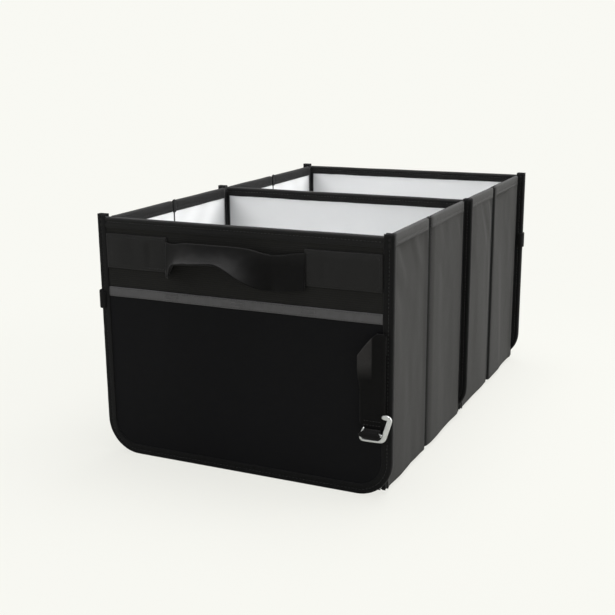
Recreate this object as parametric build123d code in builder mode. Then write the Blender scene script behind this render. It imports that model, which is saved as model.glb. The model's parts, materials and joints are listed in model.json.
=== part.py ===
from build123d import *
import os

# Collapsible fabric crate with two bays, one behind the other.
# Origin: on the ground under the middle of the divider. +X right, +Y to the rear, +Z up. Millimetres.
# End boards, the front (end = -1) and the rear (end = +1), are the same part turned half a turn about Z.

# Overall size
crate_width = 320.0
crate_length = 500.0
board_height = 252.0
bottom_corner_radius = 36.0
top_corner_radius = 3.0

# Layers of a board, from outside to inside
tape_thickness = 0.9
tape_width = 10.5
cover_thickness = 1.2
core_thickness = 3.0
lining_thickness = 1.0
end_board_thickness = 2 * tape_thickness + cover_thickness + core_thickness + lining_thickness
divider_thickness = 2 * tape_thickness + 2 * lining_thickness + core_thickness

# Side panels, set in from the board edges so that the boards stand proud as flanges
flange_width = 8.0
wall_cover_thickness = 2.0
wall_stiffener_thickness = 1.4
panel_thickness = wall_cover_thickness + wall_stiffener_thickness + lining_thickness
panel_bottom = 5.0
panel_top = 251.0
panel_rail_height = 12.0
rail_cap_thickness = 1.5
board_gap = 0.5
stiffener_board_gap = 5.5
crease_half_gap = 0.3
rail_crease_half_gap = 3.0
stiffener_crease_half_gap = 6.0
outer_face_x = crate_width / 2 - flange_width

# Distances from the divider's middle, along Y
end_board_inner = crate_length / 2 - end_board_thickness
divider_face = divider_thickness / 2
crease = (end_board_inner + divider_face) / 2

# Half floors, hinged on their top face at each board and meeting under the crease
floor_cloth_thickness = 1.0
floor_board_thickness = 2.5
floor_bottom = 4.5
floor_hinge_gap = 0.5
floor_crease_half_gap = 1.0
floor_cloth_side_gap = 0.6
floor_board_side_gap = 1.1
floor_corner_offset = 1.8
floor_half_length = crease - divider_face - floor_hinge_gap - floor_crease_half_gap
floor_half_width = outer_face_x - panel_thickness

# Pull loop at the middle of each bay's floor
loop_width = 20.0
loop_height = 14.0
loop_length = 24.0
loop_thickness = 1.4
loop_crease_gap = 2.0

# Handle webbing on each end board
webbing_thickness = 1.6
handle_bottom = 200.0
handle_height = 35.0
left_tail_span = (-149.0, -78.0)
right_tail_span = (72.0, 149.0)
grip_end_gap = 1.5
grip_bow = 12.0

# Reflective strip across each end board
strip_bottom = 170.0
strip_height = 10.0
strip_thickness = 0.8

# Tab loop round the left binding
tab_bottom = 156.0
tab_height = 19.0
tab_reach = 6.0
tab_thickness = 1.4
tab_cut_margin = 1.0

# Closure strap, which hangs from the right binding and bunches into a loop round the hook's bar
strap_right = 154.0
strap_width = 25.0
strap_top = 163.0
strap_shoulder = 143.0
strap_tip_width = 9.0
strap_taper_height = 78.0
strap_face_gap = 2.5
strap_loop_right = 149.5
strap_loop_width = 14.0
loop_centre_height = 66.0
loop_inner_radius = 3.4
loop_bore_depth = strap_face_gap + webbing_thickness + loop_inner_radius

# Closure hook: a closed slot whose upper bar runs through the strap's loop, an arm and an open top bar
hook_bar_radius = 2.4
hook_bar_overhang = 3.1
hook_width = 4.6
hook_thickness = 3.0
slot_bar_width = 2.0
slot_drop = 6.2
slot_side_width = 3.0
slot_side_top = 7.5
hook_arm_height = 18.5
hook_arm_lean = 7.6
hook_top_bar_length = 9.1


def end_plane(end, height_above_face=0.0):
    """The outer face of an end board, as seen from outside: x to the right, y up, z outwards."""
    return Plane(
        origin=(0, end * (crate_length / 2 + height_above_face), 0),
        x_dir=(-end, 0, 0),
        z_dir=(0, end, 0),
    )


def side_plane(side, depth):
    """A plane inside a side wall, as seen from outside, depth in from the wall's outer face."""
    return Plane(
        origin=(side * (outer_face_x - depth), 0, 0),
        x_dir=(0, side, 0),
        z_dir=(side, 0, 0),
    )


def board_outline(inset):
    """A board's outline, rounded at the bottom, drawn inset from its outer edge."""
    half = crate_width / 2 - inset
    low = inset
    high = board_height - inset
    corner = bottom_corner_radius - inset
    top_corner = max(top_corner_radius - inset, 0.5)
    with BuildSketch() as outline:
        with BuildLine():
            Polyline((-half + corner, low), (half - corner, low))
            RadiusArc((half - corner, low), (half, low + corner), -corner)
            Polyline((half, low + corner), (half, high - top_corner))
            RadiusArc((half, high - top_corner), (half - top_corner, high), -top_corner)
            Polyline((half - top_corner, high), (-half + top_corner, high))
            RadiusArc((-half + top_corner, high), (-half, high - top_corner), -top_corner)
            Polyline((-half, high - top_corner), (-half, low + corner))
            RadiusArc((-half, low + corner), (-half + corner, low), -corner)
        make_face()
    return outline.sketch


def save(part, name):
    """Label a finished piece and write it to its own file."""
    part.label = name
    export_step(part, f"parts/{name}.step")


def board_sheet(name, plane, thickness):
    """One flat layer of a board: plane is the layer's outer face."""
    with BuildPart() as sheet:
        with BuildSketch(plane):
            add(board_outline(tape_thickness))
        extrude(amount=-thickness)
    save(sheet.part, name)


def board_binding(name, plane, thickness):
    """Tape folded over a board's whole edge: a channel that holds the board's layers."""
    with BuildPart() as binding:
        with BuildSketch(plane):
            add(board_outline(0))
            add(board_outline(tape_width), mode=Mode.SUBTRACT)
        extrude(amount=-thickness)
        with BuildSketch(plane.offset(-tape_thickness)):
            add(board_outline(tape_thickness))
        extrude(amount=2 * tape_thickness - thickness, mode=Mode.SUBTRACT)
    save(binding.part, name)


def handle_tails(name, end):
    """The two sewn ends of the webbing handle."""
    with BuildPart() as tails:
        for low, high in (left_tail_span, right_tail_span):
            with BuildSketch(end_plane(end, -tape_thickness)):
                with Locations(((low + high) / 2, handle_bottom + handle_height / 2)):
                    Rectangle(high - low, handle_height)
            extrude(amount=webbing_thickness)
    save(tails.part, name)


def handle_grip(name, end):
    """The loose middle of the handle, bowed out from the board."""
    left = left_tail_span[1] + grip_end_gap
    right = right_tail_span[0] - grip_end_gap
    back = webbing_thickness - tape_thickness
    # The sketch plane looks down on the crate, with its y axis pointing away from the end board.
    section = Plane(origin=(0, end * crate_length / 2, handle_bottom), x_dir=(end, 0, 0), z_dir=(0, 0, 1))
    with BuildPart() as grip:
        with BuildSketch(section):
            with BuildLine():
                inner = ThreePointArc((-right, back), (-(left + right) / 2, back + grip_bow), (-left, back))
                Line(inner @ 1, (-left, back + webbing_thickness))
                ThreePointArc(
                    (-left, back + webbing_thickness),
                    (-(left + right) / 2, back + grip_bow + webbing_thickness),
                    (-right, back + webbing_thickness),
                )
                Line((-right, back + webbing_thickness), inner @ 0)
            make_face()
        extrude(amount=handle_height)
    save(grip.part, name)


def reflective_strip(name, end):
    """Flat tape sewn across the board's face, between the bindings."""
    with BuildPart() as strip:
        with BuildSketch(end_plane(end, -tape_thickness)):
            with Locations((0, strip_bottom + strip_height / 2)):
                Rectangle(crate_width - 2 * tape_width, strip_height)
        extrude(amount=strip_thickness)
    save(strip.part, name)


def closure_tab(name, end):
    """Webbing tab folded round the left binding, which takes the other end's hook."""
    cut_reach = tab_reach + tab_cut_margin
    with BuildPart() as tab:
        with BuildSketch(end_plane(end, tab_thickness)):
            with Locations(((-crate_width - tab_thickness + tab_reach) / 2, tab_bottom + tab_height / 2)):
                Rectangle(tab_reach + tab_thickness, tab_height)
        extrude(amount=-(end_board_thickness + 2 * tab_thickness))
        with BuildSketch(end_plane(end)):
            with Locations((-(crate_width - cut_reach) / 2, tab_bottom + tab_height / 2)):
                Rectangle(cut_reach, tab_height + tab_cut_margin)
        extrude(amount=-end_board_thickness, mode=Mode.SUBTRACT)
    save(tab.part, name)


def closure_strap(name, end):
    """Webbing strap with a slanted shoulder at its root and a sewn loop at its lower end."""
    left = strap_right - strap_width
    loop_left = strap_loop_right - strap_loop_width
    loop_outer_radius = loop_inner_radius + webbing_thickness
    loop_section = bar_plane(end, loop_left)
    with BuildPart() as strap:
        with BuildSketch(end_plane(end, strap_face_gap)):
            with BuildLine():
                Polyline(
                    (loop_left, loop_centre_height),
                    (strap_loop_right, loop_centre_height),
                    (strap_right, strap_taper_height),
                    (strap_right, strap_top),
                    (strap_right - strap_tip_width, strap_top),
                    (left, strap_shoulder),
                    (left, strap_taper_height),
                    close=True,
                )
            make_face()
        extrude(amount=webbing_thickness)
        with BuildSketch(loop_section):
            Circle(loop_outer_radius)
        extrude(amount=strap_loop_width)
        with BuildSketch(loop_section):
            Circle(loop_inner_radius)
        extrude(amount=strap_loop_width, mode=Mode.SUBTRACT)
    save(strap.part, name)


def bar_plane(end, across):
    """A plane square to the hook's bar, centred on it, facing to the right as seen from outside."""
    return Plane(
        origin=(-end * across, end * (crate_length / 2 + loop_bore_depth), loop_centre_height),
        x_dir=(0, 0, 1),
        z_dir=(-end, 0, 0),
    )


def closure_hook(name, end):
    """Flat metal hook. The upper bar of its slot is round, and runs through the strap's loop."""
    left = strap_loop_right - strap_loop_width - hook_bar_overhang
    right = strap_loop_right + hook_bar_overhang
    slot_bottom = loop_centre_height - slot_drop
    side_bottom = slot_bottom + (hook_width - slot_bar_width) / 2
    lean = hook_arm_lean / (hook_arm_height + slot_drop)
    side_foot = (left - lean * slot_drop, slot_bottom - slot_bar_width / 2)
    side_tip = (left + lean * slot_side_top, loop_centre_height + slot_side_top)
    arm_top = (right + hook_arm_lean, loop_centre_height + hook_arm_height)
    tip = (right + hook_arm_lean - hook_top_bar_length, loop_centre_height + hook_arm_height)
    with BuildPart() as hook:
        with BuildSketch(bar_plane(end, left)):
            Circle(hook_bar_radius)
        extrude(amount=right - left)
        with BuildSketch(end_plane(end, loop_bore_depth - hook_thickness / 2)):
            with BuildLine():
                Line((side_foot[0], slot_bottom), (right, slot_bottom))
            trace(line_width=slot_bar_width)
            with BuildLine():
                Line(side_foot, side_tip)
            trace(line_width=slot_side_width)
            with BuildLine():
                Polyline((right, side_bottom), arm_top, tip)
            trace(line_width=hook_width)
        extrude(amount=hook_thickness)
    save(hook.part, name)


def side_panel(name, side, bay, board_face, towards_crease):
    """Stiffener, lining and outer cover of one side panel. The cover ends in a rail over the top edge.

    The fabric layers run from the board to the crease. The stiffener and the rail stop short of the
    crease, so that the wall folds there, and the stiffener also stops short of the board.
    """
    rail_bottom = panel_top - panel_rail_height
    cap_bottom = panel_top - rail_cap_thickness
    lining_depth = panel_thickness - lining_thickness
    board_end = board_face + towards_crease * board_gap
    stiffener_board_end = board_face + towards_crease * stiffener_board_gap
    crease_end = crease - towards_crease * crease_half_gap
    rail_crease_end = crease - towards_crease * rail_crease_half_gap
    stiffener_crease_end = crease - towards_crease * stiffener_crease_half_gap
    # Each layer: two ends along Y, depth in from the wall's outer face, bottom, top and thickness.
    cover_layers = (
        (board_end, crease_end, 0, panel_bottom, rail_bottom, wall_cover_thickness),
        (board_end, rail_crease_end, 0, rail_bottom, panel_top, wall_cover_thickness),
        (board_end, rail_crease_end, 0, cap_bottom, panel_top, panel_thickness),
        (board_end, rail_crease_end, lining_depth, rail_bottom, panel_top, lining_thickness),
    )
    stiffener_ends = (stiffener_board_end, stiffener_crease_end)
    stiffener_sizes = (wall_cover_thickness, panel_bottom, cap_bottom, wall_stiffener_thickness)
    stiffener_layer = stiffener_ends + stiffener_sizes
    lining_layer = (board_end, crease_end, lining_depth, panel_bottom, rail_bottom, lining_thickness)
    pieces = (("cover", cover_layers), ("stiffener", (stiffener_layer,)), ("lining", (lining_layer,)))
    for piece_name, layers in pieces:
        with BuildPart() as piece:
            for start, stop, depth, low, high, thickness in layers:
                with BuildSketch(side_plane(side, depth)):
                    with Locations((bay * side * (start + stop) / 2, (low + high) / 2)):
                        Rectangle(abs(stop - start), high - low)
                extrude(amount=-thickness)
        save(piece.part, f"{name}_{piece_name}")


def half_floor(name, bay, hinge_line, towards_crease):
    """One half floor. Its board narrows at 45 degrees so that the side panels clear it as both fold."""
    start = hinge_line
    stop = hinge_line + towards_crease * floor_half_length
    corner = hinge_line + towards_crease * (floor_corner_offset + floor_board_side_gap)
    wide = floor_half_width - floor_board_side_gap
    narrow = wide - abs(stop - corner)
    with BuildPart() as board:
        with BuildSketch(Plane.XY.offset(floor_bottom + floor_cloth_thickness)):
            with BuildLine():
                Polyline(
                    (-wide, bay * start),
                    (wide, bay * start),
                    (wide, bay * corner),
                    (narrow, bay * stop),
                    (-narrow, bay * stop),
                    (-wide, bay * corner),
                    close=True,
                )
            make_face()
        extrude(amount=floor_board_thickness)
    save(board.part, f"{name}_board")
    with BuildPart() as cloth:
        with BuildSketch(Plane.XY.offset(floor_bottom)):
            with Locations((0, bay * (start + stop) / 2)):
                Rectangle(2 * (floor_half_width - floor_cloth_side_gap), floor_half_length)
        extrude(amount=floor_cloth_thickness)
    save(cloth.part, f"{name}_cloth")


def pull_loop(name, bay):
    """Webbing arch sewn on the outer half floor, beside the crease."""
    middle = bay * (crease + floor_crease_half_gap + loop_crease_gap + loop_width / 2)
    base = floor_bottom + floor_cloth_thickness + floor_board_thickness
    arch_plane = Plane(origin=(0, middle - loop_width / 2, base), x_dir=(-1, 0, 0), z_dir=(0, 1, 0))
    with BuildPart() as loop:
        with BuildSketch(arch_plane):
            Ellipse(loop_length / 2, loop_height)
            Ellipse(loop_length / 2 - loop_thickness, loop_height - loop_thickness, mode=Mode.SUBTRACT)
            with Locations((0, -loop_height / 2)):
                Rectangle(loop_length, loop_height, mode=Mode.SUBTRACT)
        extrude(amount=loop_width)
    save(loop.part, name)


os.makedirs("parts", exist_ok=True)

for end_name, end in (("front", -1), ("rear", 1)):
    depth = tape_thickness
    board_sheet(f"{end_name}_board_cover", end_plane(end, -depth), cover_thickness)
    depth += cover_thickness
    board_sheet(f"{end_name}_board_core", end_plane(end, -depth), core_thickness)
    depth += core_thickness
    board_sheet(f"{end_name}_board_lining", end_plane(end, -depth), lining_thickness)
    board_binding(f"{end_name}_board_binding", end_plane(end), end_board_thickness)
    handle_tails(f"{end_name}_handle_tails", end)
    handle_grip(f"{end_name}_handle_grip", end)
    reflective_strip(f"{end_name}_reflective_strip", end)
    closure_tab(f"{end_name}_closure_tab", end)
    closure_strap(f"{end_name}_closure_strap", end)
    closure_hook(f"{end_name}_closure_hook", end)

divider_plane = end_plane(-1, divider_face - crate_length / 2)
board_binding("divider_binding", divider_plane, divider_thickness)
board_sheet("divider_front_lining", divider_plane.offset(-tape_thickness), lining_thickness)
core_face = divider_plane.offset(-tape_thickness - lining_thickness)
board_sheet("divider_core", core_face, core_thickness)
board_sheet("divider_rear_lining", core_face.offset(-core_thickness), lining_thickness)

for bay_name, bay in (("front", -1), ("rear", 1)):
    for side_name, side in (("left", -1), ("right", 1)):
        side_panel(f"{bay_name}_{side_name}_outer", side, bay, end_board_inner, -1)
        side_panel(f"{bay_name}_{side_name}_inner", side, bay, divider_face, 1)
    half_floor(f"{bay_name}_floor_outer", bay, end_board_inner - floor_hinge_gap, -1)
    half_floor(f"{bay_name}_floor_inner", bay, divider_face + floor_hinge_gap, 1)
    pull_loop(f"{bay_name}_pull_loop", bay)
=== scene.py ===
import json
import math
from functools import partialmethod

import bmesh
import bpy
from mathutils import Matrix, Vector, noise


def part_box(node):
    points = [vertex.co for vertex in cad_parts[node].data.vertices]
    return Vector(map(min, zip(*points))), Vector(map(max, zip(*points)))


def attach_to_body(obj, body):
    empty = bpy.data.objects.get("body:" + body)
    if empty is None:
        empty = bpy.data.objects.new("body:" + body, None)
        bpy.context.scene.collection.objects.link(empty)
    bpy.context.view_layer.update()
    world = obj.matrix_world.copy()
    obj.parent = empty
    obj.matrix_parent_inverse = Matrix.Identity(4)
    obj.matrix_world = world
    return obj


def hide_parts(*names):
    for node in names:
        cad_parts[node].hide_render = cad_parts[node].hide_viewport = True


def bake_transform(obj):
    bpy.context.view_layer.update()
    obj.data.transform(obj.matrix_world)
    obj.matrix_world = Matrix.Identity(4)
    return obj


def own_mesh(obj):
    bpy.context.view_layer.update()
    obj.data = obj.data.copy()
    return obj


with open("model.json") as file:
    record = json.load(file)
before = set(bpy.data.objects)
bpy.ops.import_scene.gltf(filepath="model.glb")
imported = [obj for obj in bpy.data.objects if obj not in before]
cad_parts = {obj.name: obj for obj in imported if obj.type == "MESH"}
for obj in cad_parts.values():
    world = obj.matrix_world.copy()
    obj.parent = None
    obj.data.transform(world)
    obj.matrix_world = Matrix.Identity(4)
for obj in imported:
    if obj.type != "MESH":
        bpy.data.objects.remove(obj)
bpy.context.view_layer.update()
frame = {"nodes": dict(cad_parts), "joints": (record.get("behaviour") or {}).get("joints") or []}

# Lengths are in millimetres until mesh_piece() or a multiplication by MM turns them into metres.
MM = 0.001


def box_mm(node):
    """Lowest and highest corner of a CAD node."""
    low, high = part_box(node)
    return low / MM, high / MM


# ---------------------------------------------------------------- sizes
# The frame gives all that it holds. The rest are plain numbers.
board_low, board_high = box_mm("front_board_binding")
HALF_WIDTH = board_high.x
BOARD_TOP = board_high.z
BOARD_FACE = -board_low.y
BOARD_INNER = -board_high.y
BOARD_DEPTH = BOARD_FACE - BOARD_INNER
DIVIDER_FACE = box_mm("divider_binding")[1].y
TAPE = box_mm("front_board_cover")[0].y + BOARD_FACE
TAPE_WIDTH = 10.5
CORNER = 36.0
BOARD_CLOTH = 0.9
TAPE_SEAM = 5.0

panel_low, panel_high = box_mm("front_right_outer_cover")
lining_high = box_mm("front_right_outer_lining")[1]
WALL_OUT = panel_high.x
WALL_IN = panel_low.x
WALL_DEPTH = WALL_OUT - WALL_IN
PANEL_LOW = panel_low.z
PANEL_TOP = panel_high.z
RAIL_LOW = lining_high.z
CREASE = -(lining_high.y + box_mm("front_right_inner_lining")[0].y) / 2
# The fabric of a panel ends where its stiffener ends. A corner web joins it to the board.
PANEL_END = {"outer": -box_mm("front_right_outer_stiffener")[0].y,
             "inner": -box_mm("front_right_inner_stiffener")[1].y}
PANEL_INSET = 0.2
WALL_CLOTH = 0.8
COVER_DEPTH = 3.6
RAIL_SEAM = 3.2
WEB_HALF_GAP = 2.0
WAVE_DEPTH = 1.5
# Where the outer cloth turns in towards the crease: slope, its width, the roll's width, its depth.
HEM_SHAPES = {"outer": (0.20, 6.0, 3.2, 3.5), "inner": (1.25, 15.0, 6.0, 2.4)}

strip_low, strip_high = box_mm("front_reflective_strip")
tails_low, tails_high = box_mm("front_handle_tails")
grip_low, grip_high = box_mm("front_handle_grip")
strap_low, strap_high = box_mm("front_closure_strap")
hook_low, hook_high = box_mm("front_closure_hook")
tab_low, tab_high = box_mm("front_closure_tab")
cloth_low, cloth_high = box_mm("front_floor_outer_cloth")
WEBBING = 1.5
STRAP_THICK = 1.4
STRAP_GAP = -BOARD_FACE - strap_high.y
STRAP_SLANT = 20.0
STRAP_SLANT_SHARE = 0.64
STRAP_CREASE = 0.52
hook_place = next(j["pos_m"] for j in frame["joints"] if j["name"] == "front_hook_turn")
LOOP_HEIGHT = hook_place[2] / MM
LOOP_OUT = -hook_place[1] / MM - BOARD_FACE
LOOP_RADIUS = 4.2
SLOT_HALF = 7.0

ENDS = (("front", -1), ("rear", 1))


# ---------------------------------------------------------------- mesh helpers
def mesh_piece(name, points, faces, material):
    """A new smooth object from points in millimetres."""
    mesh = bpy.data.meshes.new(name)
    mesh.from_pydata([Vector(p) * MM for p in points], [], faces)
    mesh.validate()
    mesh.materials.append(material)
    bm = bmesh.new()
    bm.from_mesh(mesh)
    bmesh.ops.recalc_face_normals(bm, faces=bm.faces)
    bm.to_mesh(mesh)
    bm.free()
    mesh.polygons.foreach_set("use_smooth", [True] * len(mesh.polygons))
    obj = bpy.data.objects.new(name, mesh)
    bpy.context.scene.collection.objects.link(obj)
    return obj


def grid_faces(rows, cols, start):
    corners = (0, 1, cols + 1, cols)
    return [tuple(start + r * cols + c + k for k in corners)
            for r in range(rows - 1) for c in range(cols - 1)]


def sheet(name, rows, cols, surface, material, crisp=None):
    """A closed thin sheet. surface(r, c, front) gives a point of its front or back, with r and c from 0 to 1.

    crisp=0 or crisp=1 keeps the shading crisp at that end of c, where another piece carries on.
    """
    points = [surface(r / (rows - 1), c / (cols - 1), front)
              for front in (True, False) for r in range(rows) for c in range(cols)]
    count = rows * cols
    faces = grid_faces(rows, cols, 0) + [face[::-1] for face in grid_faces(rows, cols, count)]
    rim = list(range(cols))
    rim += [r * cols + cols - 1 for r in range(1, rows)]
    rim += [(rows - 1) * cols + c for c in range(cols - 2, -1, -1)]
    rim += [r * cols for r in range(rows - 2, 0, -1)]
    faces += [(a, a + count, b + count, b) for a, b in zip(rim, rim[1:] + rim[:1])]
    obj = mesh_piece(name, points, faces, material)
    if crisp is not None:
        column = (cols - 1) * crisp
        seam = {start + r * cols + column for r in range(rows) for start in (0, count)}
        for edge in obj.data.edges:
            edge.use_edge_sharp = edge.vertices[0] in seam and edge.vertices[1] in seam
    return obj


def skin(points, faces, rings):
    """Adds a solid over rings of points, with flat ends, to a mesh's points and faces."""
    size = len(rings[0])
    base = len(points)
    points.extend(p for ring in rings for p in ring)
    last = len(points) - size
    for start in range(base, last, size):
        for i in range(size):
            j = (i + 1) % size
            faces.append((start + i, start + j, start + size + j, start + size + i))
    faces.append(tuple(range(base, base + size))[::-1])
    faces.append(tuple(range(last, len(points))))


def tube(name, rings, material, levels=0):
    """A solid over rings of points, rounded by some levels of subdivision."""
    points, faces = [], []
    skin(points, faces, rings)
    obj = mesh_piece(name, points, faces, material)
    if levels:
        soft = obj.modifiers.new("soft", "SUBSURF")
        soft.levels = levels
        soft.render_levels = levels
    return obj


def attach(obj, body, slot, *nodes):
    """The piece rides on a body unless body is None, and hides the CAD nodes that it stands for. slot is not
    used.
    """
    if body:
        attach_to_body(obj, body)
    if nodes:
        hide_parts(*nodes)


def steps(count, low=0.0, high=1.0):
    """count + 1 even steps from low to high."""
    return [low + (high - low) * i / count for i in range(count + 1)]


def wave(x, y, z, scale, seed=0.0):
    """Smooth noise between about -1 and 1. scale is the size of one bump."""
    return noise.noise(Vector((x / scale + seed * 7.31, y / scale - seed * 3.17, z / scale + seed)))


def smooth_step(t):
    t = max(0.0, min(1.0, t))
    return t * t * (3 - 2 * t)


def bell(distance, width):
    return math.exp(-((distance / width) ** 2))


# ---------------------------------------------------------------- node trees
def feed(tree, value, socket):
    """Sets a socket to a number or a colour, or links it to a signal or an output."""
    value = getattr(value, "output", value)
    if isinstance(value, bpy.types.NodeSocket):
        tree.links.new(value, socket)
    elif socket.type == "RGBA":
        socket.default_value = (*value, 1.0)
    else:
        socket.default_value = value


def add_node(tree, kind, inputs=None, **settings):
    """A new shader node with its settings made and its inputs, by name or number, fed."""
    node = tree.nodes.new("ShaderNode" + kind)
    for key, value in settings.items():
        setattr(node, key, value)
    for key, value in (inputs or {}).items():
        feed(tree, value, node.inputs[key])
    return node


class Signal:
    """A number that a node gives out. Arithmetic with it adds nodes to its tree."""

    def __init__(self, tree, output):
        self.tree = tree
        self.output = output

    def operate(self, operation, other=0.0):
        node = add_node(self.tree, "Math", {0: self, 1: other}, operation=operation)
        return Signal(self.tree, node.outputs[0])

    __add__ = partialmethod(operate, "ADD")
    __sub__ = partialmethod(operate, "SUBTRACT")
    __mul__ = partialmethod(operate, "MULTIPLY")
    __truediv__ = partialmethod(operate, "DIVIDE")
    __abs__ = partialmethod(operate, "ABSOLUTE")
    at_least = partialmethod(operate, "MAXIMUM")
    at_most = partialmethod(operate, "MINIMUM")

    def __rsub__(self, number):
        return self * -1.0 + number

    def limited(self):
        return self.at_least(0.0).at_most(1.0)

    def span(self, low, high):
        """Maps 0..1 to low..high."""
        return self * (high - low) + low

    def ripple(self, pitch):
        """A sine wave from 0 to 1 along a coordinate, with its pitch in millimetres."""
        return (self * (2 * math.pi / (pitch * MM))).operate("SINE") * 0.5 + 0.5

    def bell(self):
        """1 at zero, falling to 0 on both sides."""
        return (self * self * -1.0).operate("EXPONENT")

    def colour(self, low, high):
        """Maps 0..1 to the colours from low to high."""
        node = add_node(self.tree, "Mix", data_type="RGBA")
        for key, value in (("Factor", self), ("A", low), ("B", high)):
            feed(self.tree, value, node.inputs[key])
        return Signal(self.tree, node.outputs["Result"])


class Material:
    """A material's node tree, with short forms for its parts."""

    def __init__(self, name):
        self.made = bpy.data.materials.new(name)
        self.made.use_nodes = True
        self.tree = self.made.node_tree
        self.place = add_node(self.tree, "TexCoord").outputs["Object"]
        split = add_node(self.tree, "SeparateXYZ", {0: self.place})
        self.x, self.y, self.z = (Signal(self.tree, axis) for axis in split.outputs)
        self.level = self.x + self.y

    def noise(self, scale, detail=2.0, rough=0.5, place=None):
        place = self.place if place is None else place
        inputs = {"Vector": place, "Scale": scale, "Detail": detail, "Roughness": rough}
        return Signal(self.tree, add_node(self.tree, "TexNoise", inputs).outputs["Fac"])

    def cloth_grain(self):
        """Blotches and lint of woven cloth: a share for its colour, and one for its roughness."""
        blotch = self.noise(14.0, 3.0)
        lint = self.noise(900.0)
        return blotch * 0.45 + lint * 0.25, blotch + lint * 0.3

    def bump(self, height, depth, below=None):
        """The normal of a relief that is depth millimetres high, on top of another one."""
        inputs = {"Strength": 1.0, "Distance": depth * MM, "Height": height}
        if below is not None:
            inputs["Normal"] = below
        return add_node(self.tree, "Bump", inputs).outputs["Normal"]

    def cloth_relief(self, height, depth):
        return self.bump(height, depth, self.bump(self.noise(60.0, 3.0), 0.25))

    def webbing_relief(self, height, depth):
        return self.bump(height, depth, self.bump(self.noise(90.0), 0.15))

    def finish(self, colour, roughness, normal, sheen=0.0, sheen_roughness=0.5, gloss=0.5, metallic=0.0):
        inputs = {"Base Color": colour, "Roughness": roughness, "Normal": normal, "Sheen Weight": sheen,
                  "Sheen Roughness": sheen_roughness, "Specular IOR Level": gloss, "Metallic": metallic}
        for key, value in inputs.items():
            feed(self.tree, value, self.tree.nodes["Principled BSDF"].inputs[key])
        return self.made


# ---------------------------------------------------------------- materials
def plain_weave(across, up, pitch):
    """Height of an over-and-under weave of two sets of threads."""
    turn = math.pi / (pitch * MM)
    return (across * turn).operate("SINE") * (up * turn).operate("SINE") * 0.5 + 0.5


def fabric(name, dark, pale, pitch, rough=0.75, sheen=0.25, depth=0.10, flat=False):
    """Woven cloth: thread bump, blotchy colour, slight lint and sheen."""
    m = Material(name)
    weave = plain_weave(m.x if flat else m.level, m.y if flat else m.z, pitch)
    tone, wear = m.cloth_grain()
    return m.finish((weave * 0.45 + tone).colour(dark, pale), wear.span(rough - 0.08, rough + 0.08),
                    m.cloth_relief(weave, depth), sheen, 0.45, 0.18)


def face_cloth(name):
    """The end board's cloth: ribbed and a warm black above the grey tape, smoother and bluer below."""
    m = Material(name)
    above = m.z.operate("GREATER_THAN", (strip_low.z + strip_high.z) / 2 * MM)
    height = m.z.ripple(2.1) * above * 0.7 + plain_weave(m.level, m.z, 0.9) * 0.35
    tone, wear = m.cloth_grain()
    mix = height * 0.5 + tone
    low_part = mix.colour((0.0032, 0.0032, 0.0036), (0.0084, 0.0084, 0.0093))
    high_part = mix.colour((0.0072, 0.0070, 0.0065), (0.0195, 0.0191, 0.0176))
    return m.finish(above.colour(low_part, high_part), wear.span(0.66, 0.84), m.cloth_relief(height, 0.12),
                    0.03, 0.45, 0.09)


def wall_cloth(name):
    """Dark wall cloth: the boards' black cloth, painted paler as painted light from the side. Painted shade
    darkens it into the creases, over a wider band past each crease than before it.
    """
    m = Material(name)
    weave = plain_weave(m.level, m.z, 0.8)
    tone, wear = m.cloth_grain()
    cloth = (weave * 0.45 + tone).colour((0.0135, 0.0132, 0.0125), (0.0320, 0.0313, 0.0296))
    near_band, far_band = 7.0, 9.5
    along = m.y * m.x.operate("SIGN")
    past = (abs(m.y) - CREASE * MM) * along.operate("SIGN")
    before = past.at_most(0.0) / (near_band * MM)
    beyond = past.at_least(0.0) / (far_band * MM)
    # Painted shade in and beside each crease.
    shade = (before + beyond).bell() * 0.92
    return m.finish(shade.colour(cloth, (0.0015, 0.0015, 0.0015)), wear.span(0.62, 0.78),
                    m.cloth_relief(weave, 0.10), sheen=0.05, gloss=0.10)


def lining_cloth(name):
    """Pale lining, creased on the walls, where it is painted darker as painted shade. Painted shade greys it
    into the upright corners, more so lower down, and it ends in a black seam there."""
    m = Material(name)
    weave = plain_weave(m.level, m.z, 0.7)
    blotch = m.noise(14.0, 3.0)
    bright = (weave * 0.5 + blotch * 0.5).colour((0.80, 0.805, 0.805), (0.90, 0.90, 0.895))
    slope, crease_pitch = 0.8, 43.0
    least_reach, most_reach, reach_growth = 8, 30, 0.80
    seam_width, seam_blur = 3.0, 1.4
    # Painted shade: slanting streaks stand for the shading of creases, and the walls' lining is painted
    # darker.
    creases = (m.z * slope + abs(m.y)).ripple(crease_pitch) * m.noise(11.0, 1.0)
    painted_wall_shade = creases.colour((0.66, 0.665, 0.665), (0.75, 0.755, 0.755))
    from_wall = WALL_IN * MM - abs(m.x)
    on_wall = ((1.0 * MM - from_wall) / (0.4 * MM)).limited()
    from_board = BOARD_INNER * MM - abs(m.y)
    from_divider = abs(m.y) - DIVIDER_FACE * MM
    away = from_wall.at_least(0.0) + from_board.at_most(from_divider).at_least(0.0)
    drop = RAIL_LOW * MM - m.z
    reach = (drop.at_least(0.0) * reach_growth + least_reach * MM).at_most(most_reach * MM)
    # Painted shade in the upright corners, wider lower down.
    shade = (away / reach).bell() * 0.55
    shaded = shade.colour(on_wall.colour(bright, painted_wall_shade), (0.16, 0.165, 0.17))
    seam = (((seam_width + seam_blur) * MM - away) / (seam_blur * MM)).limited()
    return m.finish(seam.colour(shaded, (0.006, 0.006, 0.006)), blotch.span(0.52, 0.68),
                    m.cloth_relief(weave, 0.04), sheen=0.1, gloss=0.18)


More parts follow.
